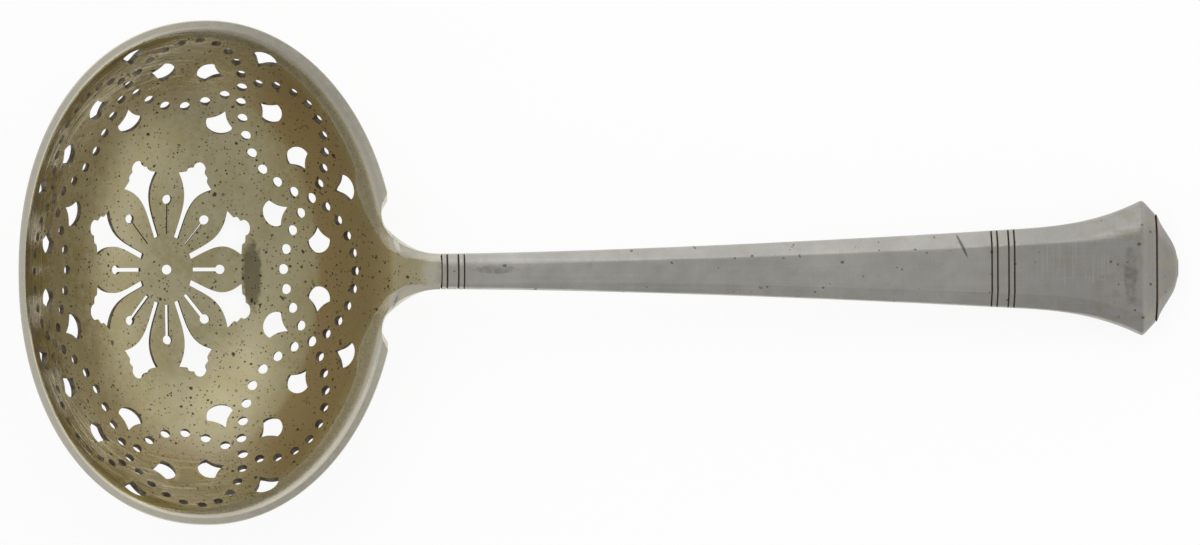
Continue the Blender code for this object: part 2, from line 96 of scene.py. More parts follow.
BOWL_PLACE = Matrix.Translation(ORIGIN) @ Matrix.Rotation(PITCH, 4, "Y") @ Matrix.Scale(0.001, 4)
COLLAR_START = Vector((HALF_LENGTH, 0, DEPTH)) + Matrix.Rotation(-RISE, 3, "Y") @ Vector(
    (NECK_LENGTH, 0, -COLLAR_HALF_THICKNESS))
HANDLE_IN_BOWL = Matrix.Translation(COLLAR_START) @ Matrix.Rotation(-RISE, 4, "Y")
INTO_HANDLE = HANDLE_IN_BOWL.inverted()
HANDLE_PLACE = BOWL_PLACE @ HANDLE_IN_BOWL


def smoothstep(low, high, value):
    part = np.clip((value - low) / (high - low), 0.0, 1.0)
    return part * part * (3 - 2 * part)


def columns(*parts):
    return np.stack(parts, axis=-1)


def unit(vectors):
    return vectors / np.linalg.norm(vectors, axis=-1, keepdims=True)


# Bowl surface
def rim_reach(bearing):
    power = np.where(np.cos(bearing) > 0, NEAR_SQUARENESS, FAR_SQUARENESS)
    total = np.abs(np.cos(bearing)) ** power + np.abs(np.sin(bearing)) ** power
    return total ** (-1 / power)


def plan(share, bearing):
    reach = share * rim_reach(bearing)
    ahead, over = np.cos(bearing), np.sin(bearing)
    return columns(HALF_LENGTH * reach * ahead, HALF_WIDTH * reach * over)


def polar(spot):
    across, over = spot[..., 0] / HALF_LENGTH, spot[..., 1] / HALF_WIDTH
    bearing = np.arctan2(over, across)
    return np.hypot(across, over) / rim_reach(bearing), bearing


def wall_height(spot):
    share, bearing = polar(spot)
    fullness = FULLNESS + SIDE_FULLNESS * np.sin(bearing) ** 2
    level = 1 - RIM_UPRIGHT * np.minimum(share, 1.0) ** fullness
    height = (1 - level ** (1 / WALL_TURN)) / (1 - (1 - RIM_UPRIGHT) ** (1 / WALL_TURN))
    return DEPTH * (height + RIM_RISE * np.maximum(share - 1, 0.0))


def crest_height(spot):
    """The wall, rolled over into the flat top of the neck."""
    wall = wall_height(spot)
    aside = np.maximum(np.abs(spot[..., 1]) - CREST_SIDE, 0.0)
    neck = DEPTH + math.tan(RISE) * (spot[..., 0] - HALF_LENGTH) + CREST_FALL * aside ** 2
    neck = np.where(spot[..., 0] > HALF_LENGTH / 2, neck, wall + 2 * CREST)
    mix = np.clip(0.5 + 0.5 * (wall - neck) / CREST, 0.0, 1.0)
    return wall + (neck - wall) * mix - CREST * mix * (1 - mix)


def from_above(ahead, height):
    """Distance towards the handle as the photograph's camera sees it."""
    return ahead * math.cos(PITCH) + height * math.sin(PITCH)


NOTCH_X = from_above(COLLAR_START.x, DEPTH)
NOTCH_Y = COLLAR_HALF_WIDTH + NOTCH_WIDTH
NOTCH_A = NOTCH_LENGTH * math.cos(PITCH)


def notch_gap(spot, height):
    """Distance from the curved cut beside the neck."""
    along = np.minimum(from_above(spot[..., 0], height) - NOTCH_X, 0.0)
    over = np.abs(spot[..., 1]) - NOTCH_Y
    reach = np.hypot(along / NOTCH_A, over / NOTCH_WIDTH)
    slope = np.hypot(along / NOTCH_A ** 2, over / NOTCH_WIDTH ** 2) + 1e-9
    return (reach - 1) * reach / slope


def top_height(spot):
    height = crest_height(spot)
    gap = notch_gap(spot, height)
    fade = 1 - smoothstep(*BAND_FADE, np.abs(spot[..., 1]))
    depth = BAND - gap
    return height - BAND_SLOPE * fade * 0.5 * (depth + np.hypot(depth, BAND_SOFTNESS))


def on_surface(spot, height):
    return np.concatenate((spot, height(spot)[..., None]), axis=-1)


def on_wall(spot):
    return on_surface(spot, wall_height)


def normals(spot, height, step=0.02):
    east, north = np.array((step, 0.0)), np.array((0.0, step))
    slope_x = (height(spot + east) - height(spot - east)) / (2 * step)
    slope_y = (height(spot + north) - height(spot - north)) / (2 * step)
    return unit(columns(-slope_x, -slope_y, np.ones_like(slope_x)))


def shading(spot):
    """Normals of the top, with the band beside the neck worn soft."""
    return unit((1 - BAND_WEAR) * normals(spot, top_height) + BAND_WEAR * normals(spot, crest_height))


# Piercing outlines, as plan points on the bowl
def set_aside(spot):
    """The pattern sits a little off the bowl's middle, less so near the rim."""
    return spot + PATTERN_ASIDE * (1 - smoothstep(*PATTERN_FADE, polar(spot)[0]))[..., None]


def carry(centre, outline):
    """Lays a flat outline (outward, round) on the bowl at a plan point of the pattern."""
    share, bearing = polar(centre)
    radial = [set_aside(plan(share + step, bearing)) for step in (-0.002, 0.002)]
    outward = unit(on_wall(radial[1]) - on_wall(radial[0]))
    centre = set_aside(centre)
    axes = np.stack((outward, np.cross(normals(centre, wall_height), outward)))
    middle = on_wall(centre)
    wanted = np.array(outline)
    spot = centre + wanted @ axes[:, :2]
    for _ in range(6):
        reached = (on_wall(spot) - middle) @ axes.T
        spot = spot + (wanted - reached) @ axes[:, :2]
    return spot


def arc_outline(size, angles):
    return size / 2 * columns(np.cos(angles), np.sin(angles))


def dot_outline(size):
    return arc_outline(size, 2 * np.pi * np.arange(DOT_SIDES) / DOT_SIDES)


def tulip_outline(turn):
    """A point towards the crossing, two hollow edges, and a round end away from it."""
    tip = np.array((-TULIP_LENGTH / 2, 0.0))
    corner = np.array((TULIP_CORNER * TULIP_LENGTH, TULIP_WIDTH / 2))
    edge = corner - tip
    hollow = unit(np.array((edge[1], -edge[0]))) * TULIP_HOLLOW
    parts = np.arange(TULIP_STEPS) / TULIP_STEPS
    side = [tip + edge * part + hollow * math.sin(math.pi * part) for part in parts]
    angles = np.pi / 2 - np.pi * np.arange(TULIP_END_STEPS + 1) / TULIP_END_STEPS
    reach = TULIP_LENGTH / 2 - corner[0]
    end = [(corner[0] + reach * math.cos(a), TULIP_WIDTH / 2 * math.sin(a)) for a in angles]
    points = np.array(side + end + [(a, -b) for a, b in side[:0:-1]])
    rotation = np.array(((math.cos(turn), -math.sin(turn)), (math.sin(turn), math.cos(turn))))
    return points @ rotation.T


def petal_outline(bearing):
    """Stem, flaring flanks, a side lobe and a round tip lobe, in shares of the rim."""
    rise, head = PETAL_SHOULDER - PETAL_STEM, PETAL_TIP - PETAL_SHOULDER
    swell = PETAL_SHOULDER_HALF - PETAL_STEM_HALF
    parts = np.arange(PETAL_STEPS + 1) / PETAL_STEPS
    side = [(PETAL_STEM + rise * part, PETAL_STEM_HALF + swell * part ** PETAL_FLARE) for part in parts]
    side += [(PETAL_SHOULDER + head * a, PETAL_SHOULDER_HALF * b) for a, b in PETAL_LOBES]
    loop = np.array(side + [(PETAL_TIP, 0.0)] + [(a, -b) for a, b in side[::-1]])
    ahead, over = loop.T
    return set_aside(plan(np.hypot(ahead, over), bearing + np.arctan2(over, ahead)))


def pin_outline(bearing):
    """A round head and a slot towards the hub; the slots on the far side are nearly closed by old dirt."""
    width = PIN_SLOT_CLOGGED if math.sin(bearing) > PIN_CLOGGED_PAST else PIN_SLOT
    centre = plan(PIN_HEAD, bearing)
    root = plan(PIN_ROOT, bearing)
    run = np.linalg.norm(on_wall(root) - on_wall(centre))
    half = math.asin(width / PIN_HEAD_SIZE)
    angles = -np.pi + half + (2 * np.pi - 2 * half) * np.arange(PIN_STEPS + 1) / PIN_STEPS
    head = arc_outline(PIN_HEAD_SIZE, angles)
    neck = -math.sqrt(PIN_HEAD_SIZE ** 2 - width ** 2) / 2
    slot = [(neck - (run + neck) * k / SLOT_STEPS, -width / 2) for k in range(1, SLOT_STEPS + 1)]
    return carry(centre, head.tolist() + [(a, -b) for a, b in slot] + slot[::-1])


def border_share(bearing):
    return BORDER_END + (BORDER_SIDE - BORDER_END) * np.sin(bearing) ** 2


def chain_places(first, swing, pitch):
    part = np.arange(ARC_SAMPLES + 1) / ARC_SAMPLES
    bearing = first + SECTOR * part
    arch = np.maximum(np.sin(np.pi * part), 0.0) ** WAVE_FULLNESS
    share = border_share(bearing) + swing * arch
    points = on_wall(plan(share, bearing))
    run = np.concatenate(([0.0], np.cumsum(np.linalg.norm(np.diff(points, axis=0), axis=1))))
    count = round(run[-1] / pitch)
    target = run[-1] * np.arange(1, count) / count
    return plan(np.interp(target, run, share), np.interp(target, run, bearing))


def all_outlines():
    """Every hole's outline, and how much wider it is filed on the outside."""
    dot = dot_outline(DOT)
    holes = [(carry(np.array((1e-4, 0.0)), dot_outline(HUB_HOLE)), FILED_ROUND)]
    for k in range(SECTORS):
        pin = SECTOR * k
        crossing = pin + SECTOR / 2
        middle = border_share(crossing)
        holes.append((pin_outline(pin), FILED_FINE))
        holes.append((petal_outline(crossing), FILED_FINE))
        holes.append((carry(plan(middle, crossing), dot_outline(CROSSING_DOT)), FILED_ROUND))
        tulips = [(middle - TULIP_IN, crossing, math.pi), (middle + TULIP_OUT, crossing, 0.0)]
        for side in (-1, 1):
            bearing = crossing + side * TULIP_ASIDE
            tulips.append((border_share(bearing), bearing, side * math.pi / 2))
        for share, bearing, turn in tulips:
            holes.append((carry(plan(share, bearing), tulip_outline(turn)), FILED_ROUND))
        for swing, pitch in ((-WAVE_IN, PITCH_IN), (WAVE_OUT, PITCH_OUT)):
            for place in chain_places(crossing, swing, pitch):
                as_drilled = swing > 0 and place[0] > 0
                holes.append((carry(place, dot), FILED_NONE if as_drilled else FILED_ROUND))
    return holes


# Bowl sheet: its edge, its triangles and its closed mesh
SEAM_AHEAD = from_above(HALF_LENGTH + WALL, DEPTH + WALL * math.tan(RISE))
RIM_POINTS, ARC_POINTS, NECK_POINTS, SEAM_POINTS = 230, 30, 6, 15
NOTCH_SWEEP = 1.2
GRID, GRID_ROW, GRID_CLEAR, HOLE_REACH = 0.85, 0.866, 0.55, 14.0
SPREAD, SPREAD_POWER, SPREAD_BEYOND = 0.29, 8, 1.6
HALVINGS = 50


def crest_spot(ahead, over):
    """Plan point of the crest surface at a distance ahead as seen from above."""
    low = np.full_like(over, HALF_LENGTH / 2)
    high = np.full_like(over, HALF_LENGTH * 2)
    for _ in range(HALVINGS):
        middle = (low + high) / 2
        spot = columns(middle, over)
        short = from_above(middle, crest_height(spot)) < ahead
        low, high = np.where(short, middle, low), np.where(short, high, middle)
    return columns(low, over)


def notch_spot(angle):
    over = NOTCH_Y + NOTCH_WIDTH * np.sin(angle)
    return crest_spot(NOTCH_X + NOTCH_A * np.cos(angle), over)


def notch_crossing(start, end, share):
    """Angle of the cut at which its edge reaches a share of the rim."""
    for _ in range(HALVINGS):
        middle = (start + end) / 2
        inside_rim = polar(notch_spot(np.array((middle,))))[0][0] < share
        start, end = (middle, end) if inside_rim else (start, middle)
    return start


def spread_share(share):
    beyond = 1 + SPREAD + SPREAD_BEYOND * (share - 1)
    return np.where(share < 1, share + SPREAD * share ** SPREAD_POWER, beyond)


def spread(spot):
    """Plan points drawn apart where the wall is steep, so that triangles come out even."""
    share, bearing = polar(spot)
    return plan(spread_share(share), bearing)


def gaps(points, others):
    """Distance of each point from the nearest of the others."""
    tree = KDTree(len(others))
    for k, other in enumerate(others):
        tree.insert(other, k)
    tree.balance()
    return np.array([tree.find(point)[2] for point in points])


def inside(points, polygon):
    result = np.zeros(len(points), bool)
    for (x0, y0), (x1, y1) in zip(polygon, np.roll(polygon, -1, axis=0)):
        if y0 == y1:
            continue
        crosses = (y0 > points[:, 1]) != (y1 > points[:, 1])
        result ^= crosses & (points[:, 0] < (x1 - x0) * (points[:, 1] - y0) / (y1 - y0) + x0)
    return result


def edge_loop():
    """The sheet's edge (cut, rim, cut, seam), the rim's bearings and how many points a cut has."""
    left = -math.pi
    shoulder = notch_crossing(left, left - NOTCH_SWEEP, RIM_SHARE)
    neck = notch_crossing(left, -math.pi / 2, 1.0)
    seam = -math.acos((SEAM_AHEAD - NOTCH_X) / NOTCH_A)
    angles = np.linspace(seam, neck, NECK_POINTS + 1), np.linspace(neck, shoulder, ARC_POINTS)[1:]
    arc = notch_spot(np.concatenate(angles))
    bearing = float(polar(arc[-1])[1])
    bearings = np.linspace(bearing, 2 * math.pi - bearing, RIM_POINTS)
    rim = plan(np.full(RIM_POINTS, RIM_SHARE), bearings)
    over = np.linspace(-arc[0, 1], arc[0, 1], SEAM_POINTS)[1:-1]
    lower = (arc * (1, -1))[::-1]
    loop = np.concatenate((arc, rim[1:-1], lower, crest_spot(np.full_like(over, SEAM_AHEAD), over)))
    return loop, bearings, len(arc)


def grid_spots(loops):
    """Even points over the sheet, clear of its edge and of the holes."""
    fixed = np.concatenate([spread(loop) for loop in loops])
    reach = np.abs(fixed).max(axis=0) + GRID
    rows = []
    for row, y in enumerate(np.arange(-reach[1], reach[1], GRID * GRID_ROW)):
        x = np.arange(-reach[0], reach[0], GRID) + (row % 2) * GRID / 2
        rows.append(columns(x, np.full_like(x, y)))
    spots = np.concatenate(rows)
    spots = spots[inside(spots, spread(loops[0]))]
    flat = ((0, 0), (0, 1))
    spots = spots[gaps(np.pad(spots, flat), np.pad(fixed, flat)) > GRID_CLEAR * GRID]
    for loop in loops[2:]:
        hole = spread(loop)
        near = np.all(np.abs(spots - hole.mean(axis=0)) < HOLE_REACH, axis=1)
        spots = spots[~(near & inside(spots, hole))]
    grown, bearing = polar(spots)
    shares = np.linspace(0, 1.4, 4001)
    return plan(np.interp(grown, spread_share(shares), shares), bearing)


def triangulate(loops, links, grid):
    """Triangles between the loops: the first loop is the edge, the second an open line, the rest holes."""
    spots = np.concatenate(loops + [grid])
    edges, starts, at = list(links), [], 0
    for number, loop in enumerate(loops):
        run = np.arange(at, at + len(loop))
        starts.append(at)
        pairs = columns(run, np.roll(run, -1))
        edges += (pairs[:-1] if number == 1 else pairs).tolist()
        at += len(loop)
    flat = spread(spots)
    result = delaunay_2d_cdt([Vector(point) for point in flat], edges, [], 0, 1e-6)
    source = np.array([origin[0] for origin in result[3]])
    triangles = source[np.array(result[2])]
    middle = flat[triangles].mean(axis=1)
    keep = inside(middle, flat[:len(loops[0])])
    for start, loop in zip(starts[2:], loops[2:]):
        end = start + len(loop)
        picked = np.nonzero(np.all((triangles >= start) & (triangles < end), axis=1))[0]
        keep[picked[inside(middle[picked], flat[start:end])]] = False
    triangles = triangles[keep]
    corner = flat[triangles]
    first, second = corner[:, 1] - corner[:, 0], corner[:, 2] - corner[:, 0]
    turned = first[:, 0] * second[:, 1] - first[:, 1] * second[:, 0] < 0
    triangles[turned] = triangles[turned][:, ::-1]
    return spots, triangles


# Pieces
def put(name, data):
    thing = bpy.data.objects.new(name, data)
    bpy.context.scene.collection.objects.link(thing)
    return thing


def add_piece(name, points, faces, place, material, marks, given=None, sharp=32.0):
    """A mesh piece from millimetre points.

    Marks are vertex or face values; given holds normals for the first corners, NaN where there is none.
    """
    mesh = bpy.data.meshes.new(name)
    mesh.from_pydata([place @ Vector(point) for point in points], [], faces)
    mesh.materials.append(material)
    mesh.shade_smooth()
    mesh.set_sharp_from_angle(angle=math.radians(sharp))
    spot = mesh.attributes.new("spot", "FLOAT_VECTOR", "POINT")
    spot.data.foreach_set("vector", np.asarray(points, float).ravel())
    for mark, values in marks.items():
        domain = "POINT" if len(values) == len(points) else "FACE"
        mesh.attributes.new(mark, "FLOAT", domain).data.foreach_set("value", values)
    if given is not None:
        corner = np.zeros(3 * len(mesh.loops))
        mesh.corner_normals.foreach_get("vector", corner)
        corner = corner.reshape(-1, 3)
        turn = np.array(place.to_3x3().normalized())
        told = ~np.isnan(given[:, 0])
        corner[:len(given)][told] = given[told] @ turn.T
        mesh.normals_split_custom_set(corner)
    return put(name, mesh)


# Where the gilding stops: its level on the wall, and how far ahead at distances beside the neck
GILT_LEVEL, GILT_FAR_RISE, GILT_END = 16.35, 2.55, 36.3
GILT_OVER = (1.0, 1.75, 1.95, 3.4, 5.6, 7.9, 10.6, 13.6, 16.0)
GILT_AHEAD = (39.0, 35.5, 32.6, 30.1, 28.5, 27.3, 26.2, 25.2, 24.1)


def gilt_reach(spot, height):
    """How far a point lies inside the gilding, in millimetres; below zero is bare silver."""
    ahead, over = from_above(spot[..., 0], height), np.abs(spot[..., 1])
    line = GILT_LEVEL + GILT_FAR_RISE * smoothstep(0.0, 13.0, 4.0 - spot[..., 0])
    below = 0.9 * (line - height)
    beside = 0.75 * (np.interp(over, GILT_OVER, GILT_AHEAD) - ahead)
    near = (1 - smoothstep(11.0, 15.0, over)) * smoothstep(5.0, 12.0, spot[..., 0])
    return np.minimum(below + (beside - below) * near, 0.10 * (GILT_END - ahead))


RIM_OUT = 0.99
RIM_CHAIN = ((0.14, 0.0), (0.86, 0.0), (RIM_OUT, -0.16))
RIM_LEAD_FADE = 0.12
SILVER, FAR_FROM_HOLES, ON_RIM = -5.0, 9.0, 1 + 1e-6
LIP_ROLL, LIP_LEVELS, LIP_FADE = 0.65, (17.4, 19.6), (5.0, 9.0)
LEVEL = np.array((0.0, 0.0, 1.0))


def rim_chain(bearings):
    """Rows of points over the rim's flat edge; near the neck they follow the curved cut outward."""
    outside = np.linspace(-math.pi - NOTCH_SWEEP, -math.pi, 400)
    ahead = (NOTCH_X + NOTCH_A * np.cos(outside) - DEPTH * math.sin(PITCH)) / math.cos(PITCH)
    over = NOTCH_Y + NOTCH_WIDTH * np.sin(outside)
    cut = columns(ahead / (HALF_LENGTH + RIM_OUT), over / (HALF_WIDTH + RIM_OUT))
    corner = cut[np.argmin(np.abs(np.linalg.norm(cut, axis=1) - 1))]
    lead = math.atan2(corner[1], corner[0]) - bearings[0]
    start, end = bearings - bearings[0], bearings[-1] - bearings
    lead = lead * (np.exp(-start / RIM_LEAD_FADE) - np.exp(-end / RIM_LEAD_FADE))
    share = np.full_like(bearings, RIM_SHARE)
    rows = []
    for out, up in RIM_CHAIN:
        moved = bearings + lead * out
        along = unit(plan(share, moved + 0.001) - plan(share, moved - 0.001))
        spot = plan(share, moved) + out * columns(along[:, 1], -along[:, 0])
        rows.append(np.concatenate((spot, np.full((len(spot), 1), DEPTH + up)), axis=1))
    return rows


def outer_side(spots):
    """The outer wall; under the cut beside the neck it hangs plumb."""
    down = -normals(spots, wall_height)
    gap = notch_gap(spots, crest_height(spots))
    plumb = (1 - smoothstep(1.0, 5.0, gap)) * (1 - smoothstep(8.0, 10.0, np.abs(spots[:, 1])))
    plumb = (plumb * (spots[:, 0] > 0))[:, None]
    below = np.array((math.sin(PITCH), 0.0, -math.cos(PITCH)))
    thick = down * (1 - plumb) + below * plumb / np.maximum(down @ below, 0.35)[:, None]
    return on_wall(spots) + WALL * thick


def file_holes(outer, down, holes, start):
    """Widens each hole on the outer side by as much as it is filed there."""
    for hole, filed in holes:
        run = np.arange(start, start + len(hole))
        tangent = np.roll(outer[run], -1, axis=0) - np.roll(outer[run], 1, axis=0)
        x, y = hole.T
        turned = np.sum(x * np.roll(y, -1) - y * np.roll(x, -1))
        outer[run] += math.copysign(filed, turned) * unit(np.cross(tangent, -down[run]))
        start += len(hole)


def make_bowl(material):
    loop, bearings, arc = edge_loop()
    far_neck = 2 * arc + RIM_POINTS - 3 - NECK_POINTS
    bearing = float(polar(loop[NECK_POINTS])[1])
    line = plan(np.ones(SEAM_POINTS), np.linspace(bearing, -bearing, SEAM_POINTS))[1:-1]
    holes = all_outlines()
    loops = [loop, line] + [hole for hole, _ in holes]
    first_hole = len(loop) + len(line)
    links = [(NECK_POINTS, len(loop)), (first_hole - 1, far_neck)]
    spots, triangles = triangulate(loops, links, grid_spots(loops))
    count = len(spots)
    share = polar(spots)[0]
    inner, outer = on_surface(spots, top_height), outer_side(spots)
    lip = LIP_ROLL * smoothstep(*LIP_LEVELS, inner[:, 2:]) * smoothstep(*LIP_FADE, np.abs(spots[:, 1:]))
    up, down = unit(shading(spots) * (1 - lip) + LEVEL * lip), -normals(spots, wall_height)
    file_holes(outer, down, holes, first_hole)
    points = np.concatenate((inner, outer, *rim_chain(bearings)))

    within = triangles[np.all(share[triangles] < ON_RIM, axis=1)]
    faces = triangles.tolist() + (within[:, ::-1] + count).tolist()
    given = [up[triangles.ravel()], down[within[:, ::-1].ravel()]]
    plain = np.full((4, 3), np.nan)
    directed = {(int(a), int(b)) for t in triangles for a, b in zip(t, np.roll(t, -1))}
    first_rim, last_rim = arc - 1, arc + RIM_POINTS - 2

    def rim_column(index):
        steps = [2 * count + row * RIM_POINTS + index - first_rim for row in range(len(RIM_CHAIN))]
        return [index, *steps, index + count]

    seam = [0] + list(range(len(loop) - 1, 2 * arc + RIM_POINTS - 4, -1))
    under = [NECK_POINTS] + list(range(len(loop), first_hole)) + [far_neck]
    seam_edges = set(zip(seam[1:], seam))
    cut = [0.0] * len(faces)
    for a, b in sorted(directed):
        if (b, a) in directed or (a, b) in seam_edges:
            continue
        if first_rim <= min(a, b) and max(a, b) <= last_rim:
            near, far = rim_column(a), rim_column(b)
            faces += [(far[k], near[k], near[k + 1], far[k + 1]) for k in range(len(near) - 1)]
            given += [np.array((up[b], up[a], LEVEL, LEVEL))] + [plain] * (len(near) - 2)
        elif max(share[a], share[b]) > ON_RIM:
            faces.append((b, a, count + (NECK_POINTS if spots[a, 1] > 0 else far_neck)))
            given.append(plain[:3])
        else:
            faces.append((b, a, count + a, count + b))
            given.append(plain)
        cut += [float(min(a, b) >= first_hole)] * (len(faces) - len(cut))
    for k in range(SEAM_POINTS - 1):
        faces.append((seam[k], seam[k + 1], count + under[k + 1], count + under[k]))
    start, end = rim_column(first_rim), rim_column(last_rim)
    faces += [(start[0], *start[:0:-1]), tuple(end)]

    used = np.unique(np.concatenate([np.array(face) for face in faces]))
    slot = np.full(len(points), -1)
    slot[used] = np.arange(len(used))
    faces = [tuple(int(slot[k]) for k in face) for face in faces]
    gild = np.full(len(points), SILVER)
    gild[:count] = gilt_reach(spots, inner[:, 2])
    edge = np.full(len(points), FAR_FROM_HOLES)
    edge[:count] = gaps(inner, on_wall(np.concatenate(loops[2:])))
    cut += [0.0] * (len(faces) - len(cut))
    points, given = points[used], np.concatenate(given)
    marks = {"gild": gild[used], "edge": edge[used], "round": polar(points[:, :2])[0], "cut": cut}
    return add_piece("pierced_bowl", points, faces, BOWL_PLACE, material, marks, given)


# Lofts: closed rings of points joined in order, with both ends capped
def loft_faces(rings, size):
    faces, last = [], (rings - 1) * size
    for base in range(0, last, size):
        for k in range(size):
            j = (k + 1) % size
            faces.append((base + k, base + j, base + size + j, base + size + k))
    return faces + [tuple(range(size))[::-1], tuple(range(last, last + size))]


def add_loft(name, rings, grime, material, sharp=32.0):
    """A piece of the handle through rings of points, each with the grime on it."""
    size = len(rings[0])
    points = [point for ring in rings for point in ring]
    marks = {"grime": np.repeat(grime, size)}
    faces = loft_faces(len(rings), size)
    thing = add_piece(name, points, faces, HANDLE_PLACE, material, marks, sharp=sharp)
    bm = bmesh.new()
    bm.from_mesh(thing.data)
    bmesh.ops.recalc_face_normals(bm, faces=bm.faces)
    bm.to_mesh(thing.data)
    bm.free()
    even = thing.modifiers.new("even_facets", "WEIGHTED_NORMAL")
    even.keep_sharp = True
    return thing


NECK_STATIONS, NECK_ACROSS = 26, 41


def wall_behind(over, level):
    """Where the bowl's outer wall lies along the handle, at a place across it and a level in its frame."""
    reach = HALF_LENGTH * math.sqrt(1 - (over / HALF_WIDTH) ** 2)
    spot = columns(reach * np.linspace(0.8, 0.999, 60), np.full(60, over))
    outer = on_wall(spot) - WALL * normals(spot, wall_height)
    turned = np.array([INTO_HANDLE @ Vector(point) for point in outer])
    return float(np.interp(level, turned[:, 2], turned[:, 0]))


def make_neck(material):
    """From the seam on the bowl's wall to the collar; its top carries on the bowl's own surface."""
    ahead = np.linspace(SEAM_AHEAD + 0.01, NOTCH_X + 0.03, NECK_STATIONS)
    edge = NOTCH_Y - NOTCH_WIDTH * np.sqrt(1 - ((ahead - NOTCH_X) / NOTCH_A) ** 2)
    foot = notch_spot(np.array((notch_crossing(-math.pi, -math.pi / 2, 1.0),)))
    foot = np.array(INTO_HANDLE @ Vector(outer_side(foot)[0]))
    points, gild, tops, first = [], [], [], None
    for place, half, lean in zip(ahead, edge, np.linspace(1.0, 0.0, NECK_STATIONS) ** 3):
        over = np.linspace(half, -half, NECK_ACROSS)
        spot = crest_spot(np.full_like(over, place), over)
        top = on_surface(spot, top_height)
        start = (INTO_HANDLE @ Vector(top[NECK_ACROSS // 2])).x
        grown = np.clip(1 + start / NECK_LENGTH, 0.0, 1.0)
        bevel, low = 0.3 + 0.95 * grown, -0.65 - grown
        corner = np.array((start, half, -0.2 - 0.7 * grown))
        first = corner if first is None else first
        corner = corner + (foot - first) * lean
        middle = [(start + (wall_behind(side, low) - first[0]) * lean, side, low)
                  for side in (bevel - half, half - bevel)]
        below = [corner * (1, -1, 1), *middle, corner]
        points += top.tolist() + [list(HANDLE_IN_BOWL @ Vector(point)) for point in below]
        gild += gilt_reach(spot, top[:, 2]).tolist() + [SILVER] * len(below)
        tops.append(shading(spot))
    size = NECK_ACROSS + 4
    faces = loft_faces(NECK_STATIONS, size)
    upper = [face for face in faces[:-2] if max(face[0] % size, face[1] % size) < NECK_ACROSS]
    rest = [face for face in faces if face not in set(upper)]
    given = np.array([tops[k // size][k % size] for face in upper for k in face])
    marks = {"gild": gild, "edge": [FAR_FROM_HOLES] * len(points), "round": [1.0] * len(points)}
    return add_piece("neck", points, upper + rest, BOWL_PLACE, material, marks, given)


# Handle sections: half width, flat's half width, half thickness and side's half height
STEM_SWELL, STEM_POWER, END_HALF_WIDTH, FLARE_POWER = 3.0, 1.5, 9.42, 2.8
STEM_THICKENING, FLARE_THICKENING = 0.85, 0.7
COLLAR_BEVEL, STEM_BEVEL, FLARE_BEVEL = 1.25, 0.95, 1.4


def section(along):
    stem, flare = min(along, STEM_LENGTH) / STEM_LENGTH, max(along - STEM_LENGTH, 0.0) / FLARE_LENGTH
    slope = STEM_POWER * STEM_SWELL / STEM_LENGTH * FLARE_LENGTH
    rest = END_HALF_WIDTH - COLLAR_HALF_WIDTH - STEM_SWELL - slope
    wide = COLLAR_HALF_WIDTH + STEM_SWELL * stem ** STEM_POWER + slope * flare + rest * flare ** FLARE_POWER
    thick = COLLAR_HALF_THICKNESS + STEM_THICKENING * stem + FLARE_THICKENING * flare ** 2
    bevel = COLLAR_BEVEL + STEM_BEVEL * stem + FLARE_BEVEL * flare ** 2
    return np.array((wide, wide - bevel, thick, thick - BAND_SLOPE * bevel))


def inset(sizes, depth):
    wide, flat, thick, side = sizes
    tall, long = thick - side, wide - flat
    length = math.hypot(tall, long)
    level = (tall * wide + long * side) / length - depth
    return np.array((wide - depth, (level * length - long * (thick - depth)) / tall,
                     thick - depth, (level * length - tall * (wide - depth)) / long))


SEAT = np.array((7.52, 5.12, 2.2, 0.76))
HANDLE_END = STEM_LENGTH + FLARE_LENGTH + END_CHAMFER
SIDE_ROLL, FACE_ROLL = (97.65, 1.75, 0.012), (97.25, 2.15, 0.04)


def rolled(along, start, length, softness):
    part = (along - start) / length
    return 0.5 * (part + math.sqrt(part * part + softness))


def end_section(along):
    """The flared end rolls over to the seat of the cap."""
    full = section(min(along, STEM_LENGTH + FLARE_LENGTH))
    sides, faces = rolled(along, *SIDE_ROLL), rolled(along, *FACE_ROLL)
    share = np.clip(np.array((sides, sides, faces, faces)), 0.0, 1.0)
    return full + (SEAT - full) * share


def pulled(corner, other, radius):
    """A point beside a corner, a radius towards the next one but short of the middle."""
    way = other - corner
    return corner + unit(way) * min(radius, 0.45 * np.linalg.norm(way))


def rounded(points, radius, steps=4):
    """An open path with its inner corners rounded."""
    points = np.array(points)
    path = [points[0]]
    for before, corner, after in zip(points, points[1:], points[2:]):
        start, end = pulled(corner, before, radius), pulled(corner, after, radius)
        for t in np.linspace(0.0, 1.0, steps + 1):
            path.append((1 - t) ** 2 * start + 2 * t * (1 - t) * corner + t * t * end)
    return path + [points[-1]]


EDGE_RADIUS, COLLAR_WEAR, END_WEAR = 0.3, 0.45, 0.9
COLLAR_WORN, END_WORN = (3.0, 28.0), (86.0, 97.0)
GROOVE = ((-0.20, -0.012, 0.0), (-0.13, 0.0, 0.25), (-0.05, 0.10, 1.0), (0.0, 0.15, 1.0),
          (0.05, 0.10, 1.0), (0.13, 0.0, 0.25), (0.20, -0.012, 0.0))


def softness(along):
    """Radius of the facet edges: worn soft near the collar and at the flared end."""
    collar, end = 1 - smoothstep(*COLLAR_WORN, along), smoothstep(*END_WORN, along)
    return EDGE_RADIUS + COLLAR_WEAR * collar + END_WEAR * end


def groove(line):
    """Stations of one engraved line: place, depth and the grime in it."""
    return [(line + aside, depth, grime) for aside, depth, grime in GROOVE]


def line_places(start):
    return (start, start + LINE_PAIR, start + COLLAR_LENGTH - LINE_PAIR, start + COLLAR_LENGTH)


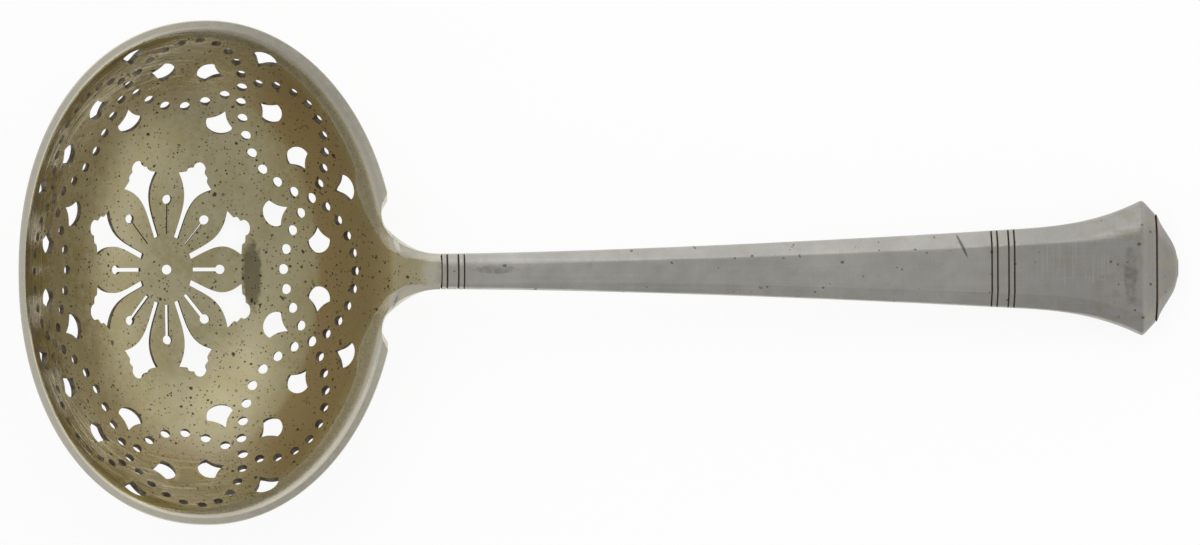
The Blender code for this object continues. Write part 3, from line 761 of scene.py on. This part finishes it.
STEM_STEP, FLARE_STEP, ROLL_START, ROLL_STATIONS = 2.0, 0.9, 96.6, 10
JOINT_GAP, LINE_CLEAR, FLAT_STEPS = 0.03, 0.3, 8


def shell_stations():
    first = COLLAR_LENGTH + JOINT_GAP
    lines = line_places(STEM_LENGTH - COLLAR_LENGTH)
    plain = np.concatenate((np.arange(first + 1.0, STEM_LENGTH, STEM_STEP),
                            np.arange(STEM_LENGTH, ROLL_START - 0.1, FLARE_STEP),
                            np.linspace(ROLL_START, HANDLE_END - 0.1, ROLL_STATIONS)))
    stations = [(first, 0.12, 1.0), (first + 0.1, 0.0, 0.25), (first + 0.2, 0.0, 0.0)]
    stations += [(place, 0.0, 0.0) for place in plain
                 if min(abs(place - line) for line in lines) > LINE_CLEAR]
    for line in lines:
        stations += groove(line)
    return sorted(stations) + [(HANDLE_END, 0.05, 0.8)]


def half_path(sizes):
    """Half of a shell's section, from the side seam up to the flat."""
    wide, flat, thick, side = sizes
    return [(wide, JOINT_GAP), (wide, side), (flat, thick)]


def make_shell(name, sign, material):
    rings, grime = [], []
    for along, depth, dirt in shell_stations():
        sizes = end_section(along) if along > STEM_LENGTH else section(along)
        half, lining = half_path(inset(sizes, depth)), half_path(inset(sizes, SHELL_WALL))
        path = rounded(half + [(-a, b) for a, b in half[::-1]], softness(along))
        middle = len(path) // 2
        start, step = path[middle - 1], (path[middle] - path[middle - 1]) / FLAT_STEPS
        path[middle:middle] = [start + step * k for k in range(1, FLAT_STEPS)]
        path += [(-a, b) for a, b in lining] + lining[::-1]
        rings.append([(along, over, sign * up) for over, up in path])
        grime.append(dirt)
    return add_loft(name, rings, grime, material)


def octagon_ring(along, sizes, radius):
    wide, flat, thick, side = sizes
    upper = [(wide, side), (flat, thick), (-flat, thick), (-wide, side)]
    corners = np.array(upper + [(-a, -b) for a, b in upper])
    middle = (corners[-1] + corners[0]) / 2
    return [(along, *point) for point in rounded([middle, *corners, middle], radius)[:-1]]


def make_collar(material):
    lines = line_places(0.0)
    edge = ((0.0, 0.12, 1.0), (0.10, 0.0, 0.25), (0.19, 0.0, 0.0))
    stations = [(JOINT_GAP + aside, depth, dirt) for aside, depth, dirt in edge]
    stations += groove(lines[1]) + [(1.3, 0.0, 0.0), (1.8, 0.0, 0.0)] + groove(lines[2])
    stations += [(COLLAR_LENGTH - aside, depth, dirt) for aside, depth, dirt in edge[::-1]]
    rings = [octagon_ring(along, inset(section(along), depth), softness(along))
             for along, depth, _ in stations]
    return add_loft("lined_collar", rings, [dirt for _, _, dirt in stations], material)


CAP_PART = (0.0, 0.10, 0.21, 0.38, 0.55, 0.72, 0.85, 0.94, 1.0)
CAP_SHARE = (1.0, 0.89, 0.80, 0.69, 0.585, 0.475, 0.365, 0.245, 0.07)
CAP_STATIONS, CAP_FOOT, CAP_INSET, CAP_SHARP = 30, 0.22, 0.06, 40.0


def make_cap(material):
    """An ogee button: hollow sides at its base, round at its tip."""
    fine = np.linspace(0.0, 0.992, CAP_STATIONS)
    scale = np.interp(fine, CAP_PART, CAP_SHARE)
    scale = np.convolve(np.pad(scale, 2, mode="edge"), np.ones(5) / 5, mode="valid")
    base = inset(SEAT, CAP_INSET)
    start, length = HANDLE_END + CAP_FOOT, CAP_LENGTH - 0.2
    stations = [(HANDLE_END + 0.02, 0.95, 1.0, 0.4), (start - 0.08, 0.965, 1.0, 0.4),
                (start, 1.0, 0.6, 0.4)]
    for part, size in zip(fine[1:], scale[1:] / scale[0]):
        stations.append((start + length * part, size, 0.0, 0.5 + 1.2 * part))
    rings = [octagon_ring(along, base * size, radius * size + 0.02) for along, size, _, radius in stations]
    return add_loft("ogee_cap", rings, [dirt for _, _, dirt, _ in stations], material, CAP_SHARP)


# Node trees
class NodeNet:
    """Short calls for the nodes of one tree."""

    def __init__(self, tree):
        self.tree = tree

    def node(self, kind, inputs=None, **settings):
        made = self.tree.nodes.new("ShaderNode" + kind)
        for key, value in settings.items():
            setattr(made, key, value)
        for key, value in (inputs or {}).items():
            if isinstance(value, bpy.types.NodeSocket):
                self.tree.links.new(value, made.inputs[key])
            else:
                made.inputs[key].default_value = value
        return made

    def part(self, kind, *inputs, **settings):
        """The first output of a node whose inputs are given in order."""
        return self.node(kind, dict(enumerate(inputs)), **settings).outputs[0]

    def calc(self, operation, first, *others):
        for other in others:
            first = self.part("Math", first, other, operation=operation)
        return first

    def times(self, *values):
        return self.calc("MULTIPLY", *values)

    def plus(self, *values):
        return self.calc("ADD", *values)

    def minus(self, *values):
        return self.calc("SUBTRACT", *values)

    def most(self, *values):
        return self.calc("MAXIMUM", *values)

    def size(self, value):
        return self.calc("ABSOLUTE", value, 0.0)

    def vector(self, operation, *values):
        return self.part("VectorMath", *values, operation=operation)

    def axes(self, where):
        return self.node("SeparateXYZ", {0: where}).outputs[:3]

    def ramp(self, value, low, high, start=0.0, end=1.0):
        inputs = {"Value": value, "From Min": low, "From Max": high, "To Min": start, "To Max": end}
        return self.node("MapRange", inputs, interpolation_type="SMOOTHSTEP").outputs[0]

    def blend(self, share, first, second):
        first, second = [(*c, 1.0) if isinstance(c, tuple) else c for c in (first, second)]
        return self.node("Mix", {0: share, 6: first, 7: second}, data_type="RGBA").outputs[2]

    def noise(self, where, scale, detail):
        inputs = {"Vector": where, "Scale": scale, "Detail": detail, "Roughness": 0.55}
        return self.node("TexNoise", inputs).outputs[0]

    def mark(self, name, output="Fac"):
        return self.node("Attribute", attribute_name=name).outputs[output]

    def specks(self, where, scale, size):
        """Ragged specks of mixed sizes, most cells left empty."""
        ragged = self.node("TexNoise", {"Vector": where, "Scale": 3.0 * scale, "Detail": 2.0})
        where = self.vector("MULTIPLY_ADD", ragged.outputs["Color"], (0.5 / scale,) * 3, where)
        cells = self.node("TexVoronoi", {"Vector": where, "Scale": scale, "Randomness": 1.0})
        pick = self.part("SeparateColor", cells.outputs["Color"])
        radius = self.times(self.ramp(pick, 0.45, 1.0), size)
        return self.ramp(self.minus(radius, cells.outputs["Distance"]), 0.0, 0.35 * size)

    def oval(self, where, centre, half, fray=0.5, turn=0.0):
        """An oval patch with a frayed edge, in the plane of x and y."""
        place = (*centre, 0.0)
        inputs = {"Vector": where, "Center": place, "Angle": turn}
        turned = self.node("VectorRotate", inputs, rotation_type="Z_AXIS").outputs[0]
        moved = self.vector("SUBTRACT", turned, place)
        scaled = self.vector("MULTIPLY", moved, (1 / half[0], 1 / half[1], 0.0))
        reach = self.node("VectorMath", {0: scaled}, operation="LENGTH").outputs["Value"]
        frayed = self.times(self.minus(self.noise(where, 1.4, 4.0), 0.5), fray)
        return self.ramp(self.plus(reach, frayed), 1.1, 0.7)


def new_material(name, metallic=1.0):
    material = bpy.data.materials.new(name)
    material.use_nodes = True
    shader = material.node_tree.nodes["Principled BSDF"]
    shader.inputs["Metallic"].default_value = metallic
    return material, NodeNet(material.node_tree), shader


def wire(net, shader, color, roughness, height, strength, distance):
    bump = net.node("Bump", {"Strength": strength, "Distance": distance, "Height": height}).outputs[0]
    for name, value in (("Base Color", color), ("Roughness", roughness), ("Normal", bump)):
        net.tree.links.new(value, shader.inputs[name])


# Colours, and ovals of wear as a centre and half sizes in millimetres
DIRT = (0.045, 0.030, 0.018)
HOLE_WALL_BROWN, LINE_DIRT = (0.07, 0.045, 0.022), (0.15, 0.10, 0.062)
BARE_LOW, BARE_HIGH = (0.53, 0.495, 0.405), (0.57, 0.54, 0.445)
GOLD_LOW, GOLD_HIGH, GOLD_RUBBED = (0.46, 0.40, 0.22), (0.54, 0.485, 0.30), (0.57, 0.53, 0.36)
# Next line: painted shade and dark painted reflection, then painted highlights and reflections, then a
# painted highlight along the gilding's edge
GOLD_SHADE, GOLD_GLINT, GILT_EDGE_HIGHLIGHT = (0.42, 0.322, 0.17), (1.0, 0.93, 0.72), (0.74, 0.71, 0.58)
TARNISH = (0.37, 0.335, 0.25)
STAIN, RIM_HIGHLIGHT, OUTSIDE = (0.11, 0.095, 0.052), (0.76, 0.725, 0.60), (0.54, 0.52, 0.47)
SILVER_TINT, COLLAR_TINT, CAP_TINT = (0.53, 0.52, 0.485), (0.54, 0.52, 0.475), (0.53, 0.505, 0.47)
STAIN_OVAL = ((11.0, -0.3), (1.35, 5.0))
POLISH_OVAL = ((87.8, 0.9), (5.6, 3.6))
END_SMUDGE, COLLAR_SMUDGE = ((95.7, -0.9), (0.95, 4.3)), ((7.4, 0.25), (3.0, 0.65))
LONG_NICK, SMALL_NICK = ((72.35, 3.1), (1.9, 0.22)), ((55.6, 1.0), (0.3, 0.24))
LONG_NICK_TURN = math.radians(65.6)
GILT_SPECKS = ((0.8, 0.26), (1.3, 0.30), (1.9, 0.33), (2.6, 0.35))
SILVER_SPECKS = ((0.42, 0.20), (0.9, 0.22))
STREAKS_UP, STREAKS_ROUND = 85.0, 4.0
RIPPLE = 5.0


def streaks(net, where, out):
    """Noise drawn out into streaks that run round the bowl."""
    facing = net.vector("NORMALIZE", net.vector("MULTIPLY", where, (1.0, 1.0, 0.0)))
    facing = net.vector("MULTIPLY", facing, (STREAKS_ROUND, STREAKS_ROUND, 0.0))
    level = net.part("CombineXYZ", 0.0, 0.0, net.times(out, STREAKS_UP))
    return net.noise(net.vector("ADD", facing, level), 1.0, 2.0)


def gold_color(net, where, grain, streak, zone):
    """Gilding, browner up the walls as painted shade; on the far wall a darker band of painted shade, a
    painted highlight, painted glints round the holes and bright and dull streaks of painted reflection.
    """
    ramp, blend, times = net.ramp, net.blend, net.times
    gild, edge, out = [net.mark(name) for name in ("gild", "edge", "round")]
    x, _, z = net.axes(where)
    cloud = net.noise(where, 0.11, 4.0)
    gold = blend(ramp(cloud, 0.35, 0.65), GOLD_LOW, GOLD_HIGH)
    gold = blend(ramp(grain, 0.42, 0.72, 0.0, 0.6), gold, GOLD_RUBBED)
    # Painted shade: darker, browner gilding up the walls, most on the wall towards the handle
    wall_shade = times(ramp(net.plus(z, cloud), 7.9, 9.1), ramp(x, 0.0, 14.0, 0.1, 1.0))
    gold = blend(times(wall_shade, ramp(x, 30.5, 24.0)), gold, GOLD_SHADE)
    gold = blend(ramp(gild, 1.8, 0.1, 0.0, 0.5), gold, GOLD_HIGH)
    # Painted shade: a darker band on the outer part of the far wall
    far_wall_shade = times(ramp(out, 0.64, 0.71, 0.0, 0.40), ramp(x, 10.0, -2.0))
    gold = blend(far_wall_shade, gold, GOLD_SHADE)
    # Painted highlight: the far wall made lighter
    far_wall_highlight = times(ramp(out, 0.60, 0.80, 0.0, 0.38), ramp(x, 14.0, 2.0))
    gold = blend(far_wall_highlight, gold, GOLD_GLINT)
    # Painted glints round the hole edges and bright streaks of painted reflection on the far wall
    hole_edge_glint = times(ramp(edge, 1.1, 0.1), ramp(grain, 0.40, 0.60, 0.0, 0.75))
    bright = net.most(hole_edge_glint, ramp(streak, 0.55, 0.62, 0.0, 0.85))
    gold = blend(times(zone, bright), gold, GOLD_GLINT)
    # Dull streaks of painted reflection on the far wall
    dark_reflection_streaks = times(zone, ramp(streak, 0.44, 0.30, 0.0, 0.45))
    gold = blend(dark_reflection_streaks, gold, GOLD_SHADE)
    return blend(times(net.oval(where, *STAIN_OVAL, 0.8), 0.7), gold, STAIN)


def bare_color(net, where, grain):
    """Silver without gilding: the rim's band, the sides of the neck and the outside, with painted
    highlights on the far lip and on the bare band by the neck.
    """
    gild = net.mark("gild")
    x, y, z = net.axes(where)
    bare = net.blend(net.ramp(grain, 0.35, 0.68), BARE_LOW, BARE_HIGH)
    within = net.most(net.ramp(gild, -4.6, -3.2), net.ramp(z, 17.6, 19.2))
    bare = net.blend(within, OUTSIDE, bare)
    # Painted highlight: the top of the lip on the far side, and the bare band on the handle side, made
    # lighter
    lip = net.times(net.ramp(z, 18.8, 19.7), net.ramp(x, 14.0, -16.0, 0.0, 0.9))
    beside = net.times(net.ramp(net.size(y), 1.3, 1.9), net.ramp(x, 19.0, 26.0, 0.0, 0.55))
    return net.blend(net.most(lip, net.times(beside, within)), bare, RIM_HIGHLIGHT)


def plated_material(name):
    """Worn gilding over silver: the split follows the gild values of the mesh."""
    material, net, shader = new_material(name)
    ramp, blend, times = net.ramp, net.blend, net.times
    where = net.mark("spot", "Vector")
    gild, edge, out, cut = [net.mark(mark) for mark in ("gild", "edge", "round", "cut")]
    x = net.axes(where)[0]
    grain, fine = net.noise(where, 0.9, 5.0), net.noise(where, 4.0, 3.0)
    wobble = net.plus(gild, times(net.minus(grain, 0.5), 0.5))
    plate = ramp(wobble, -0.10, 0.14)
    streak = streaks(net, where, out)
    zone = times(ramp(out, 0.70, 0.84), ramp(x, 12.0, -6.0))
    gold = gold_color(net, where, grain, streak, zone)
    color = blend(plate, bare_color(net, where, grain), gold)
    # Painted highlight: a pale line along the edge of the gilding, where the crease of the lip catches the
    # light
    color = blend(ramp(net.size(wobble), 0.22, 0.0, 0.0, 0.6), color, GILT_EDGE_HIGHLIGHT)

    crowd = ramp(net.noise(where, 0.2, 2.0), 0.40, 0.54, 0.4, 1.0)
    crowd = net.most(crowd, ramp(edge, 1.3, 0.0, 0.0, 0.9))
    spots = net.most(*[net.specks(where, *pair) for pair in GILT_SPECKS])
    spots = times(spots, crowd, ramp(plate, 0.0, 1.0, 0.12, 1.0))
    color = blend(times(spots, 0.85), color, DIRT)
    # The cut walls of the holes are coloured dark brown
    color = blend(times(cut, ramp(grain, 0.3, 0.7, 1.0, 0.6)), color, HOLE_WALL_BROWN)

    rough = net.plus(ramp(plate, 0.0, 1.0, -0.07, 0.0), ramp(grain, 0.3, 0.75, 0.30, 0.40))
    rough = net.plus(rough, net.most(times(spots, 0.25), times(cut, 0.6)))
    rough = net.minus(rough, times(zone, plate, 0.25))
    height = net.plus(grain, fine, times(streak, zone, RIPPLE))
    net.tree.links.new(ramp(cut, 0.0, 1.0, 1.0, 0.1), shader.inputs["Metallic"])
    wire(net, shader, color, rough, height, ramp(plate, 0.0, 1.0, 0.03, 0.25), 0.00006)
    return material


def tone(tint, factor):
    return tuple(factor * value for value in tint)


def silver_material(name, tint, face=False):
    """Rubbed silver, dirt in its engraved lines, fine polishing scratches; the face is marked by use."""
    material, net, shader = new_material(name)
    ramp, blend, times = net.ramp, net.blend, net.times
    where = net.mark("spot", "Vector")
    grime = net.mark("grime")
    x = net.axes(where)[0]
    cloud, grain = net.noise(where, 0.16, 4.0), net.noise(where, 1.1, 5.0)
    across = net.noise(net.vector("MULTIPLY", where, (8.0, 0.12, 0.12)), 1.0, 2.0)
    along = net.noise(net.vector("MULTIPLY", where, (0.05, 2.6, 2.6)), 1.0, 2.0)
    color = blend(ramp(cloud, 0.33, 0.68), tone(tint, 0.93), tone(tint, 1.06))
    color = blend(ramp(grain, 0.50, 0.75, 0.0, 0.35), color, tone(tint, 1.2))
    color = blend(ramp(x, 66.0, 88.0, 0.0, 0.8), color, tone(tint, 0.78))
    color = blend(ramp(x, 97.0, 98.4), color, tone(tint, 0.60))
    stained = ramp(net.noise(where, 0.55, 5.0), 0.44, 0.64, 0.0, 0.55)
    stained = times(stained, ramp(x, 82.0, 96.0, 0.35, 1.0))
    color = blend(stained, color, TARNISH)
    spots = net.most(*[net.specks(where, *pair) for pair in SILVER_SPECKS])
    color = blend(times(spots, 0.6), color, DIRT)
    if face:
        polish = times(ramp(across, 0.48, 0.66), net.oval(where, *POLISH_OVAL))
        color = blend(times(polish, 0.3), color, tone(tint, 1.2))
        smudge = net.most(net.oval(where, *END_SMUDGE, 0.7), net.oval(where, *COLLAR_SMUDGE, 1.2))
        smudge = times(smudge, ramp(grain, 0.34, 0.66, 0.15, 0.45))
        nicks = net.most(net.oval(where, *LONG_NICK, 0.6, LONG_NICK_TURN), net.oval(where, *SMALL_NICK))
        color = blend(net.most(smudge, times(nicks, 0.8)), color, tone(tint, 0.25))
    color = blend(ramp(grime, 0.1, 0.9, 0.0, 0.95), color, LINE_DIRT)
    scratches = net.plus(across, along)
    rough = net.plus(ramp(scratches, 0.7, 1.3, 0.26, 0.40), times(grime, 0.4))
    wire(net, shader, color, rough, net.plus(scratches, grain), 0.2, 0.00005)
    return material


def cement_material(name):
    material, net, shader = new_material(name, metallic=0.0)
    where = net.node("TexCoord").outputs["Object"]
    grain = net.noise(where, 900.0, 6.0)
    color = net.blend(grain, (0.16, 0.13, 0.10), (0.36, 0.31, 0.25))
    wire(net, shader, color, net.ramp(grain, 0.2, 0.8, 0.8, 0.95), grain, 0.5, 0.0002)
    return material


# Pieces on the frame
made = (
    (make_bowl(plated_material("worn_gilt_bowl")), "bowl", "gilt"),
    (make_neck(plated_material("worn_gilt_neck")), "neck_shank", "gilt"),
    (make_collar(silver_material("collar_silver", COLLAR_TINT)), "neck_collar", "silver"),
    (make_shell("front_shell", 1, silver_material("face_silver", SILVER_TINT, face=True)),
     "handle_front_shell", "silver"),
    (make_shell("back_shell", -1, silver_material("back_silver", SILVER_TINT)),
     "handle_back_shell", "silver"),
    (make_cap(silver_material("cap_silver", CAP_TINT)), "end_cap", "silver"))
for piece, name, slot in made:
    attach(piece, "root")
    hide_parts(name)
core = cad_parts["handle_core"]
core.data.materials.clear()
core.data.materials.append(cement_material("core_cement"))


# Stage, light and camera
FLOOR_HALF, FLOOR_LEVEL, FLOOR_TONES, FLOOR_GLOW = 2.0, -0.00006, (0.80, 0.20), 0.86
CAMERA_HEIGHT, CAMERA_ASIDE, CAMERA_ROLL = 2.5, (-0.0002, -0.00025), -0.0050
VIEW_WIDTH, VIEW_LEVEL = 0.1656, 0.018
KEY_PLACE, KEY_SIZE, KEY_WATTS = (-0.3, 0.9, 1.3), (1.4, 1.0), 2.0


def make_floor():
    """A pale floor: plain white to the camera and in reflections, clear from below."""
    mesh = bpy.data.meshes.new("floor")
    sides = ((-1, -1), (1, -1), (1, 1), (-1, 1))
    mesh.from_pydata([(FLOOR_HALF * a, FLOOR_HALF * b, FLOOR_LEVEL) for a, b in sides], [], [(0, 1, 2, 3)])
    floor = put("floor", mesh)
    material, net, shader = new_material("pale_floor")
    net.tree.nodes.remove(shader)
    path = net.node("LightPath")
    seen = net.most(*[path.outputs[f"Is {kind} Ray"] for kind in ("Camera", "Glossy", "Transmission")])
    paint, shade = [net.part("BsdfDiffuse", (value, value, value, 1.0)) for value in FLOOR_TONES]
    white = net.part("AddShader", shade, net.part("Emission", (1.0, 1.0, 1.0, 1.0), FLOOR_GLOW))
    either = net.part("MixShader", seen, paint, white)
    below = net.node("NewGeometry").outputs["Backfacing"]
    surface = net.part("MixShader", below, either, net.part("BsdfTransparent"))
    net.tree.links.new(surface, net.tree.nodes["Material Output"].inputs["Surface"])
    mesh.materials.append(material)


def make_world():
    """A plain room: brighter on the far side and beyond the handle, softer overhead."""
    world = bpy.data.worlds.new("soft_room")
    world.use_nodes = True
    net = NodeNet(world.node_tree)
    way = net.node("TexCoord").outputs["Generated"]
    x, y, z = net.axes(way)
    level = net.plus(net.ramp(x, 0.25, 0.8, 0.61, 0.84), net.ramp(y, 0.40, 0.92, 0.0, 0.26),
                     net.ramp(y, -0.66, -0.92, 0.0, -0.2))
    over = net.ramp(z, 0.50, 0.90)
    light = net.node("Mix", {0: over, 2: level, 3: 0.50}, data_type="FLOAT").outputs[0]
    background = net.tree.nodes["Background"]
    net.tree.links.new(light, background.inputs["Strength"])
    background.inputs["Color"].default_value = (1.0, 1.0, 1.0, 1.0)
    bpy.context.scene.world = world


def add_light():
    lamp = bpy.data.lights.new("key", "AREA")
    lamp.shape = "RECTANGLE"
    lamp.size, lamp.size_y = KEY_SIZE
    lamp.energy = KEY_WATTS
    key = put("key", lamp)
    key.location = KEY_PLACE
    key.rotation_euler = (-Vector(KEY_PLACE)).to_track_quat("-Z", "Y").to_euler()


def add_camera():
    data = bpy.data.cameras.new("camera")
    data.sensor_width = 36.0
    data.lens = data.sensor_width * (CAMERA_HEIGHT - VIEW_LEVEL) / VIEW_WIDTH
    data.clip_end = 10.0
    camera = put("camera", data)
    camera.location = (*CAMERA_ASIDE, CAMERA_HEIGHT)
    camera.rotation_euler = (0.0, 0.0, CAMERA_ROLL)
    bpy.context.scene.camera = camera


make_floor()
make_world()
add_light()
add_camera()
bpy.context.scene.view_settings.view_transform = "Standard"
